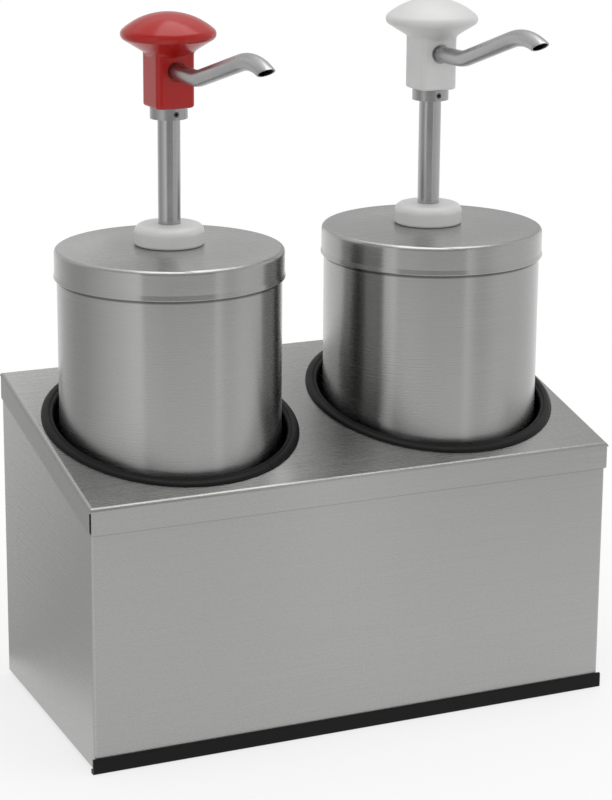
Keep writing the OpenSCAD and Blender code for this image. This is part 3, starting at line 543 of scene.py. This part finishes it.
class STATION_OT_finish_jars(bpy.types.Operator):
    """Brushed steel on the jars and their lids, and the gaskets under the lids"""

    bl_idname = "station.finish_jars"
    bl_label = "Finish the jars and lids"

    def execute(self, context):
        finish = context.scene.station.finish
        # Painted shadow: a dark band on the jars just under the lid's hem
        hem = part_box("left_lid")[0].z
        shade_to_paint = [(hem + distance, light) for distance, light in HEM_PAINTED_SHADOW]
        paint(brushed_steel("jar_steel", finish.jar_steel, finish.jar_roughness, "level", shade_to_paint),
              *both("jar"))
        paint(brushed_steel("lid_steel", finish.jar_steel, finish.jar_roughness, "lid"), *both("lid"))
        paint(moulded_rubber("gasket_rubber", (0.16, 0.16, 0.16), 0.6), *both("lid_gasket"))
        return {"FINISHED"}


class STATION_OT_finish_pumps(bpy.types.Operator):
    """Steel and plastic of the pumps, from the bosses down to the suction tubes"""

    bl_idname = "station.finish_pumps"
    bl_label = "Finish the pumps"

    def execute(self, context):
        finish = context.scene.station.finish
        paint(moulded_plastic("boss_plastic", finish.white_plastic, 0.38, 0.00002), *both("guide_boss"))
        paint(moulded_plastic("pump_plastic", finish.pump_plastic, 0.42),
              *both("foot_valve", "piston", "spring_cap"))
        paint(turned_steel("cylinder_steel", finish.rod_steel, 0.28, 1800.0),
              *both("pump_cylinder", "suction_tube", "spring_seat"))
        paint(turned_steel("rod_steel", finish.rod_steel, finish.rod_roughness), *both("rod"))
        dull = [c * 0.9 for c in finish.rod_steel]
        paint(turned_steel("collar_steel", dull, 0.3, 3200.0), *both("collar"))
        paint(turned_steel("screw_steel", (0.10, 0.10, 0.105), 0.3, 4000.0), *both("set_screw"))
        paint(turned_steel("ball_steel", (0.5, 0.5, 0.5), 0.08, 500.0, 0.000002),
              *both("inlet_ball", "outlet_ball"))
        paint(moulded_rubber("seal_rubber", (0.015, 0.015, 0.015), 0.4), *both("piston_seal"))
        return {"FINISHED"}


class STATION_OT_make_springs(bpy.types.Operator):
    """Return springs with close end turns"""

    bl_idname = "station.make_springs"
    bl_label = "Make the return springs"

    def execute(self, context):
        """The wire's middle line is a helix: at t turns it stands at angle 2 pi t and at a height that
        rises by the end pitch in the first and last turn, and evenly in between. Round it goes a circle
        in the plane of the radius and Z."""
        settings = context.scene.station
        spring = settings.spring
        steel = drawn_steel("spring_steel", settings.finish.rod_steel, 0.25)
        around, per_turn = 10, 40
        for side in SIDES:
            low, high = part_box(f"{side}_return_spring")
            axis = node_axis(f"{side}_pump_cylinder")
            travel = high.z - low.z - 2 * spring.wire_radius
            t = np.linspace(0.0, spring.turns, spring.turns * per_turn + 1)
            knots = (0.0, 1.0, spring.turns - 1.0, float(spring.turns))
            height = np.interp(t, knots, (0.0, spring.end_pitch, travel - spring.end_pitch, travel))
            b = np.linspace(0.0, 2 * math.pi, around, endpoint=False)
            a = 2 * math.pi * t[:, None]
            r = spring.mean_radius + spring.wire_radius * np.cos(b)[None, :]
            z = low.z + spring.wire_radius + height[:, None] + spring.wire_radius * np.sin(b)[None, :]
            points = np.stack([axis[0] + r * np.cos(a), axis[1] + r * np.sin(a), z], axis=-1)
            ends = [np.arange(around)[::-1], (len(t) - 1) * around + np.arange(around)]
            piece = build_piece(f"{side}_spring_wire", points, grid_faces(len(t), around), ends)
            along = np.broadcast_to(a * spring.mean_radius, z.shape)
            across = [np.broadcast_to(spring.wire_radius * f(b), z.shape) for f in (np.cos, np.sin)]
            write_vectors(piece, "tube_place", np.stack([along, *across], axis=-1))
            dress(piece, f"{side}_pump", "spring_steel", steel, f"{side}_return_spring")
            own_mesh(piece)
        return {"FINISHED"}


def rounded_square(a, half, radius):
    """Distance from the middle of a rounded square to its edge, in the direction a: half / cos on a flat
    side, and on a corner the far crossing with the circle of that radius about (half - radius) on both
    axes."""
    a = np.abs((a + math.pi / 4) % (math.pi / 2) - math.pi / 4)
    inner = half - radius
    flat = half / np.cos(a)
    reach = inner * (np.cos(a) + np.sin(a))
    corner = reach + np.sqrt((reach ** 2 - 2 * inner ** 2 + radius ** 2).clip(0.0))
    return np.where(half * np.tan(a) <= inner, flat, corner)


def head_profile(head):
    """Outline of a head from its foot to the top of its cap, as three arrays: share of the neck's
    width, radius of the cap, and height. The neck's foot is a quarter circle, the cap's underside a
    cone, its rim an arc and its crown a larger arc that runs into the rim."""
    half = head.width / 2
    rim = head.cap_radius - head.rim_radius
    crown = (rim ** 2 + head.crown ** 2 - head.rim_radius ** 2) / (2 * (head.crown - head.rim_radius))
    crown_angle = math.asin(rim / (crown - head.rim_radius))
    rim_in = rim + head.rim_radius * math.sin(head.under_angle)
    under = head.widest - head.rim_radius * math.cos(head.under_angle)
    tip = under - rim_in * math.tan(head.under_angle)
    t = np.linspace(0.0, math.pi / 2, 7)
    foot_z = head.foot_radius * (1 - np.cos(t))
    foot_inset = head.foot_radius * (1 - np.sin(t)) / half
    neck_z = np.concatenate([foot_z, np.linspace(head.foot_radius, tip, 34)[1:]])
    neck_share = np.concatenate([1 - foot_inset, np.ones(33)])
    cone_z = tip + (under - tip) * np.linspace(0.0, 1.0, 56)[1:]
    cone_r = (cone_z - tip) / math.tan(head.under_angle)
    b = np.linspace(head.under_angle - math.pi / 2, math.pi / 2 - crown_angle, 22)[1:]
    rim_r, rim_z = rim + head.rim_radius * np.cos(b), head.widest + head.rim_radius * np.sin(b)
    c = np.linspace(math.pi / 2 - crown_angle, math.pi / 2, 30)[1:-1]
    top_r, top_z = crown * np.cos(c), head.widest + head.crown - crown + crown * np.sin(c)
    height = np.concatenate([neck_z, cone_z, rim_z, top_z])
    neck = np.concatenate([neck_share, np.ones(len(cone_z)), np.zeros(len(rim_z) + len(top_z))])
    cap = np.concatenate([np.zeros(len(neck_z)), cone_r, rim_r, top_r])
    return neck, cap, height


def head_surface(head, bore_top, columns=256):
    """Points and faces of a head about its own axis. The radius in each direction is the p-norm of the
    neck's radius and the cap's radius, so that the square neck runs into the round cap in a fillet.
    A bore goes up from the bottom and is closed by a flat roof."""
    a = np.linspace(0.0, 2 * math.pi, columns, endpoint=False)
    neck, cap, height = head_profile(head)
    square = rounded_square(a, head.width / 2, head.edge_radius)[None, :] * neck[:, None]
    biggest = np.maximum(square, cap[:, None])
    shares = (square / biggest) ** head.blend + (cap[:, None] / biggest) ** head.blend
    radius = np.concatenate([np.full((2, columns), head.bore), biggest * shares ** (1 / head.blend)])
    height = np.concatenate([[bore_top, 0.0], height])
    rings = np.stack([radius * np.cos(a), radius * np.sin(a),
                      np.broadcast_to(height[:, None], radius.shape)], axis=-1)
    tops = [[0.0, 0.0, bore_top], [0.0, 0.0, head.widest + head.crown]]
    points = np.concatenate([rings.reshape(-1, 3), tops])
    rows = len(height)
    ring = np.arange(columns)
    roof = fan_faces(rows * columns, ring, flip=True)
    pole = fan_faces(rows * columns + 1, (rows - 1) * columns + ring)
    return points, grid_faces(rows, columns), np.concatenate([roof, pole])


def revolved(profile, columns=64):
    """Points and faces of a closed solid of revolution about the X axis, from a profile of (x, radius)
    pairs between two points on the axis."""
    a = np.linspace(0.0, 2 * math.pi, columns, endpoint=False)
    x, r = np.array(profile[1:-1]).T
    rings = np.stack([np.broadcast_to(x[:, None], (len(x), columns)), r[:, None] * np.cos(a),
                      r[:, None] * np.sin(a)], axis=-1)
    points = np.concatenate([rings.reshape(-1, 3), [[profile[0][0], 0, 0], [profile[-1][0], 0, 0]]])
    ring = np.arange(columns)
    count = len(x)
    ends = np.concatenate([fan_faces(count * columns, ring, flip=True),
                           fan_faces(count * columns + 1, (count - 1) * columns + ring)])
    return points, grid_faces(count, columns), ends


def cut(piece, tool):
    """Takes a tool's solid out of a piece, and removes the tool."""
    modifier = piece.modifiers.new("cut", "BOOLEAN")
    modifier.operation, modifier.solver, modifier.object = "DIFFERENCE", "EXACT", tool
    bpy.context.view_layer.update()
    graph = bpy.context.evaluated_depsgraph_get()
    mesh = bpy.data.meshes.new_from_object(piece.evaluated_get(graph))
    piece.modifiers.clear()
    piece.data = mesh
    bpy.data.objects.remove(tool)


def head_frame(side, turn, tilt=0.0, height=0.0):
    """Placing matrix of a head: about the rod's axis, turned so that its own X is the spout's way, and
    for a spout raised and tilted."""
    low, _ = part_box(f"{side}_head")
    axis = node_axis(f"{side}_rod")
    return (Matrix.Translation((axis[0], axis[1], low.z)) @ Matrix.Rotation(turn - math.pi / 2, 4, "Z")
            @ Matrix.Translation((0.0, 0.0, height)) @ Matrix.Rotation(-tilt, 4, "Y"))


class STATION_OT_make_heads(bpy.types.Operator):
    """Red and white plastic heads: a square neck that runs into a round palm cap"""

    bl_idname = "station.make_heads"
    bl_label = "Make the heads"

    def execute(self, context):
        settings = context.scene.station
        head, spout, finish = settings.head, settings.spout, settings.finish
        red = moulded_plastic("red_plastic", finish.red_plastic, 0.2, 0.00004, Specular_IOR_Level=0.35)
        white = moulded_plastic("white_plastic", finish.white_plastic, 0.36, 0.00003,
                                Specular_IOR_Level=0.4)
        bore_top = spout.height - spout.radius - head.roof
        half = head.width / 2
        mouth = half - head.recess_depth
        hole, wide = spout.radius + FIXED_GAP, spout.radius + head.recess
        for side, plastic, slot in zip(SIDES, (red, white), ("red_plastic", "white_plastic")):
            piece = build_piece(f"{side}_knob", *head_surface(head, bore_top))
            tool = build_piece("cutter", *revolved([
                (spout.root, 0), (spout.root, hole), (mouth, hole), (mouth, wide), (2 * half, wide),
                (2 * half, 0)]))
            tilt = getattr(spout, f"{side}_tilt")
            tool.data.transform(Matrix.Translation((0, 0, spout.height)) @ Matrix.Rotation(-tilt, 4, "Y"))
            cut(piece, tool)
            piece.data.transform(head_frame(side, getattr(head, f"{side}_turn")))
            piece.data.shade_smooth()
            piece.data.set_sharp_from_angle(angle=math.radians(40.0))
            dress(piece, f"{side}_plunger", slot, plastic, f"{side}_head")
        return {"FINISHED"}


def spout_line(spout, step=0.0002):
    """Middle line of a spout in the plane of X and Z, from its root to a little past the outlet. Its
    slope is level, then ramps up over the first bend, stays, and ramps down over the last bend. The
    slope is softened over a short stretch, and the place is its running sum. Gives the distance, the
    place and the slope at each step, and where the last bend starts."""
    bend_up = spout.up_radius * spout.rise_angle
    bend_down = spout.down_radius * (spout.rise_angle + spout.fall_angle)
    extra = 0.02
    marks = np.cumsum([0.0, spout.run - spout.root, bend_up, spout.slope_length, bend_down, extra])
    s = np.arange(0.0, marks[-1], step)
    end = -spout.fall_angle - extra / spout.down_radius
    slope = np.interp(s, marks, [0.0, 0.0, spout.rise_angle, spout.rise_angle, -spout.fall_angle, end])
    reach = 30
    window = np.hanning(2 * reach + 1)
    padded = np.pad(slope, reach, mode="edge")
    slope = np.convolve(padded, window / window.sum(), mode="valid")
    way = np.stack([np.cos(slope), np.sin(slope)], axis=-1) * step
    place = np.array([spout.root, 0.0]) + np.concatenate([[[0.0, 0.0]], np.cumsum(way, axis=0)[:-1]])
    return s, place, slope, marks


def spout_surface(spout, around=48):
    """Points, faces and tube places of a spout. Round the middle line goes a circle of the tube's outer
    radius, out to the plane of the cut, then a half round over the lip, and back along the bore. In
    the last bend each line along the tube runs its own way to the cut plane in equal shares."""
    s, place, slope, marks = spout_line(spout)
    b = np.linspace(0.0, 2 * math.pi, around, endpoint=False)

    def points_at(distance, radius):
        """Points of the tube at these distances and radii, for the line at angle b of each column."""
        x, z = np.interp(distance, s, place[:, 0]), np.interp(distance, s, place[:, 1])
        rise = np.interp(distance, s, slope)
        up = radius * np.sin(b)
        return np.stack([x - up * np.sin(rise), np.broadcast_to(-radius * np.cos(b), x.shape),
                         z + up * np.cos(rise)], axis=-1)

    corner = np.array([np.interp(marks[4], s, place[:, 0]), np.interp(marks[4], s, place[:, 1])])
    normal = np.array([math.sin(spout.cut_angle), -math.cos(spout.cut_angle)])

    def line_ends(radius):
        """Distance at which each line of the tube meets the cut plane, found where the height over the
        plane changes its sign."""
        grid = np.broadcast_to(s[:, None], (len(s), around))
        tube = points_at(grid, radius)
        over = (tube[..., 0] - corner[0]) * normal[0] + (tube[..., 2] - corner[1]) * normal[1]
        late = s[:, None] > marks[3]
        hit = np.argmax((over > 0) & late, axis=0)
        j = np.arange(around)
        before, after = over[hit - 1, j], over[hit, j]
        return s[hit - 1] + (s[hit] - s[hit - 1]) * (-before / (after - before))

    margin = 0.006
    straight = np.concatenate([[0.0], np.linspace(marks[1] - margin, marks[2] + margin, 24),
                               [marks[3] - margin]])
    shares = np.linspace(0.0, 1.0, 30)[1:]
    lip = spout.wall * 0.35
    rows, radii = [], []
    for radius in (spout.radius, spout.radius - spout.wall):
        ends = line_ends(radius) - lip
        rows.append(np.concatenate([np.broadcast_to(straight[:, None], (len(straight), around)),
                                    straight[-1] + (ends[None, :] - straight[-1]) * shares[:, None]]))
        radii.append(np.full((len(rows[-1]), 1), radius))
    turn = np.linspace(0.0, math.pi, 7)[1:-1, None]
    middle = spout.radius - spout.wall / 2
    blend = (1 - np.cos(turn)) / 2
    rim = rows[0][-1] * (1 - blend) + rows[1][-1] * blend + lip * np.sin(turn)
    rim_r = middle + spout.wall / 2 * np.cos(turn)
    distance = np.concatenate([rows[0], rim, rows[1][::-1]])
    radius = np.concatenate([radii[0], rim_r, radii[1]])
    points = points_at(distance, radius)
    across = np.broadcast_to(radius, distance.shape)
    tube = np.stack([distance, across * np.cos(b), across * np.sin(b)], axis=-1)
    return points.reshape(-1, 3), grid_faces(len(distance), around, along=True), tube


class STATION_OT_make_spouts(bpy.types.Operator):
    """Bent steel tubes with a slanting outlet"""

    bl_idname = "station.make_spouts"
    bl_label = "Make the spouts"

    def execute(self, context):
        settings = context.scene.station
        head, spout = settings.head, settings.spout
        finish = settings.finish
        steel = drawn_steel("spout_steel", finish.rod_steel, finish.rod_roughness + 0.1)
        points, quads, tube = spout_surface(spout)
        for side in SIDES:
            piece = build_piece(f"{side}_spout_tube", points, quads, sharp=70.0)
            write_vectors(piece, "tube_place", tube)
            turn, tilt = getattr(head, f"{side}_turn"), getattr(spout, f"{side}_tilt")
            piece.data.transform(head_frame(side, turn, tilt, spout.height))
            dress(piece, f"{side}_plunger", "bright_steel", steel, f"{side}_spout")
        return {"FINISHED"}


# Studio

def camera_matrix(studio):
    """Placing matrix of the camera from its yaw, pitch, roll and place."""
    yaw, pitch, roll = studio.yaw, studio.pitch, studio.roll
    ahead = np.array([math.sin(yaw) * math.cos(pitch), math.cos(yaw) * math.cos(pitch),
                      -math.sin(pitch)])
    level = np.array([math.cos(yaw), -math.sin(yaw), 0.0])
    above = np.cross(level, ahead)
    right = math.cos(roll) * level + math.sin(roll) * above
    up = -math.sin(roll) * level + math.cos(roll) * above
    matrix = Matrix.Identity(4)
    for column, vector in enumerate((right, up, -ahead, np.array(studio.place))):
        for row in range(3):
            matrix[row][column] = vector[row]
    return matrix


def seen_rays(tree):
    """1 for camera, glossy and transmission rays, and 0 for the rays that carry light."""
    path = add(tree, "ShaderNodeLightPath")
    pair = maths(tree, "MAXIMUM", path.outputs["Is Camera Ray"], path.outputs["Is Glossy Ray"])
    return maths(tree, "MAXIMUM", pair, path.outputs["Is Transmission Ray"])


# Height of the floor, a little under the foot strips
FLOOR_Z = -0.0003
# Brightness of the studio's boards by azimuth, from the way to the camera
LEFT_LEVELS = ((-160, 1.0), (-150, 0.96), (-137, 0.92), (-120, 0.82), (-105, 0.62), (-92, 0.52),
               (-78, 0.54), (-65, 0.68), (-53, 0.82), (-40, 0.94), (-30, 1.0))
RIGHT_LEVELS = ((40, 1.0), (52, 0.64), (60, 0.64), (72, 0.74), (100, 0.78), (125, 0.88), (145, 1.0))
FRONT_LEVELS = ((-120, 0.95), (-85, 0.65), (-45, 0.42), (0, 0.36), (45, 0.42), (85, 0.65), (120, 0.95))
BACK_LEVELS = ((110, 1.0), (135, 0.66), (225, 0.66), (250, 1.0))
# Boards: name, levels, and the distance and height of the foot and of the head
BOARDS = (("left_flag", LEFT_LEVELS, (0.245, 0.001), (0.75, 0.62)),
          ("right_flag", RIGHT_LEVELS, (0.72, 0.001), (0.80, 0.60)),
          ("front_flag", FRONT_LEVELS, (1.42, 0.001), (0.85, 1.30)),
          ("back_flag", BACK_LEVELS, (1.60, 0.06), (1.00, 1.30)))
# Lamps: name before _softbox, two sides, place, and the point that it faces
LAMPS = (("top", (1.7, 1.3), (0.1, -0.1, 1.9), (0.0, 0.0, 0.3)),
         ("key", (1.2, 1.4), (-1.9, -1.7, 1.3), (0.0, 0.0, 0.25)),
         ("fill", (1.2, 1.4), (2.0, -1.3, 1.1), (0.0, 0.0, 0.25)))


def softbox(name, level, size, place, target):
    """A flat oblong lamp of this brightness, which faces a target."""
    lamp = bpy.data.lights.new(name, "AREA")
    lamp.shape, lamp.size, lamp.size_y = "RECTANGLE", size[0], size[1]
    lamp.energy = level * math.pi * size[0] * size[1]
    holder = bpy.data.objects.new(name, lamp)
    bpy.context.scene.collection.objects.link(holder)
    aim = (np.array(target) - np.array(place)).tolist()
    turn = Vector(aim).to_track_quat("-Z", "Y").to_matrix().to_4x4()
    holder.matrix_world = Matrix.Translation(place) @ turn


def flag(name, studio, levels, foot, head):
    """A dim board round part of the studio that only reflections see. The levels are pairs of azimuth,
    in degrees to the right from the way to the camera, and brightness, which runs evenly from one to
    the next. The board leans from its foot to its head, each a distance from the station's middle and
    a height."""
    count = 65
    azimuth, level = np.array(levels).T
    turn = np.linspace(azimuth[0], azimuth[-1], count)
    a = studio.yaw + math.pi - np.radians(turn)
    distance, z = (np.array(pair)[:, None] for pair in zip(foot, head))
    points = np.stack([distance * np.sin(a), distance * np.cos(a), z * np.ones(count)], axis=-1)
    board = build_piece(name, points, grid_faces(2, count, around=False))
    shade = np.interp(turn, azimuth, level)
    write_vectors(board, "shade", np.broadcast_to(shade[None, :, None], (2, count, 3)))
    material = bpy.data.materials.new(name)
    material.use_nodes = True
    tree = material.node_tree
    tree.nodes.clear()
    source = add(tree, "ShaderNodeAttribute", attribute_name="shade")
    glow = add(tree, "ShaderNodeEmission", {"Color": source.outputs["Vector"], "Strength": 1.0})
    output = add(tree, "ShaderNodeOutputMaterial")
    tree.links.new(glow.outputs[0], output.inputs["Surface"])
    board.data.materials.append(material)
    board.visible_camera = board.visible_diffuse = board.visible_shadow = False
    board.visible_transmission = board.visible_volume_scatter = False


class STATION_OT_set_stage(bpy.types.Operator):
    """Pale floor, soft lamps, a white surround and the camera"""

    bl_idname = "station.set_stage"
    bl_label = "Set the stage"

    def execute(self, context):
        studio = context.scene.station.studio
        scene = context.scene
        scene.view_settings.view_transform = "Standard"
        world = bpy.data.worlds.new("studio")
        scene.world = world
        world.use_nodes = True
        tree = world.node_tree
        sky = tree.nodes["Background"]
        sky.inputs["Color"].default_value = (1.0, 1.0, 1.0, 1.0)
        strength = add(tree, "ShaderNodeMapRange", {"Value": seen_rays(tree), "To Min": studio.sky_level})
        tree.links.new(strength.outputs["Result"], sky.inputs["Strength"])

        half = studio.floor_size / 2
        x, y = np.meshgrid([-half, half], [-half, half])
        floor = build_piece("studio_floor", np.stack([x, y, np.full_like(x, FLOOR_Z)], axis=-1),
                            grid_faces(2, 2, around=False))
        material, tree, shader = blank("floor_paper", 0.9, 0.0, Specular_IOR_Level=0.1)
        place = add(tree, "ShaderNodeTexCoord").outputs["Object"]
        paper = tone(tree, (0.93, 0.93, 0.93), noise(tree, place, 3.0), 0.01)
        tree.links.new(paper, shader.inputs["Base Color"])
        glow = add(tree, "ShaderNodeEmission", {"Color": (1.0, 1.0, 1.0, 1.0), "Strength": 1.0})
        away = add(tree, "ShaderNodeVectorMath", {0: place}, operation="LENGTH")
        far = mapped(tree, away.outputs["Value"], 0.70, 1.0, 0.25, 0.60)
        mixed = add(tree, "ShaderNodeMixShader", {0: maths(tree, "MULTIPLY", seen_rays(tree), far),
                                                  1: shader.outputs[0], 2: glow.outputs[0]})
        tree.links.new(mixed.outputs[0], tree.nodes["Material Output"].inputs["Surface"])
        floor.data.materials.append(material)

        for name, size, place, target in LAMPS:
            softbox(f"{name}_softbox", getattr(studio, f"{name}_level"), size, place, target)
        for name, levels, foot, head in BOARDS:
            flag(name, studio, levels, foot, head)

        lens = bpy.data.cameras.new("photo_camera")
        lens.lens = studio.lens
        lens.sensor_width = 36.0
        lens.shift_y = studio.shift
        lens.clip_start, lens.clip_end = 0.05, 100.0
        camera = bpy.data.objects.new("photo_camera", lens)
        scene.collection.objects.link(camera)
        camera.matrix_world = camera_matrix(studio)
        scene.camera = camera
        return {"FINISHED"}


class STATION_PT_panel(bpy.types.Panel):
    """Lists the steps that dress the pump station, and its settings."""

    bl_label = "Pump station"
    bl_idname = "STATION_PT_panel"
    bl_space_type = "VIEW_3D"
    bl_region_type = "UI"
    bl_category = "Pump station"

    def draw(self, context):
        layout = self.layout
        for step in STEPS:
            layout.operator(step.bl_idname)
        settings = context.scene.station
        for group in (settings.finish, settings.trim, settings.head, settings.spout, settings.spring,
                      settings.studio):
            box = layout.box()
            box.label(text=group.bl_rna.description)
            for name in group.bl_rna.properties.keys():
                if name not in ("rna_type", "name"):
                    box.prop(group, name)


GROUPS = (FinishSettings, TrimSettings, HeadSettings, SpoutSettings, SpringSettings, StudioSettings,
          StationSettings)
STEPS = (STATION_OT_finish_panels, STATION_OT_finish_feet, STATION_OT_make_trim_rings,
         STATION_OT_finish_jars, STATION_OT_finish_pumps, STATION_OT_make_springs, STATION_OT_make_heads,
         STATION_OT_make_spouts, STATION_OT_set_stage)


def register():
    for kind in GROUPS + STEPS + (STATION_PT_panel,):
        bpy.utils.register_class(kind)
    bpy.types.Scene.station = PointerProperty(type=StationSettings, name="Pump station",
                                              description="Settings of the pump station")


def unregister():
    del bpy.types.Scene.station
    for kind in reversed(GROUPS + STEPS + (STATION_PT_panel,)):
        bpy.utils.unregister_class(kind)


def main():
    register()
    for step in STEPS:
        group, name = step.bl_idname.split(".")
        getattr(getattr(bpy.ops, group), name)()


if __name__ == "__main__":
    main()
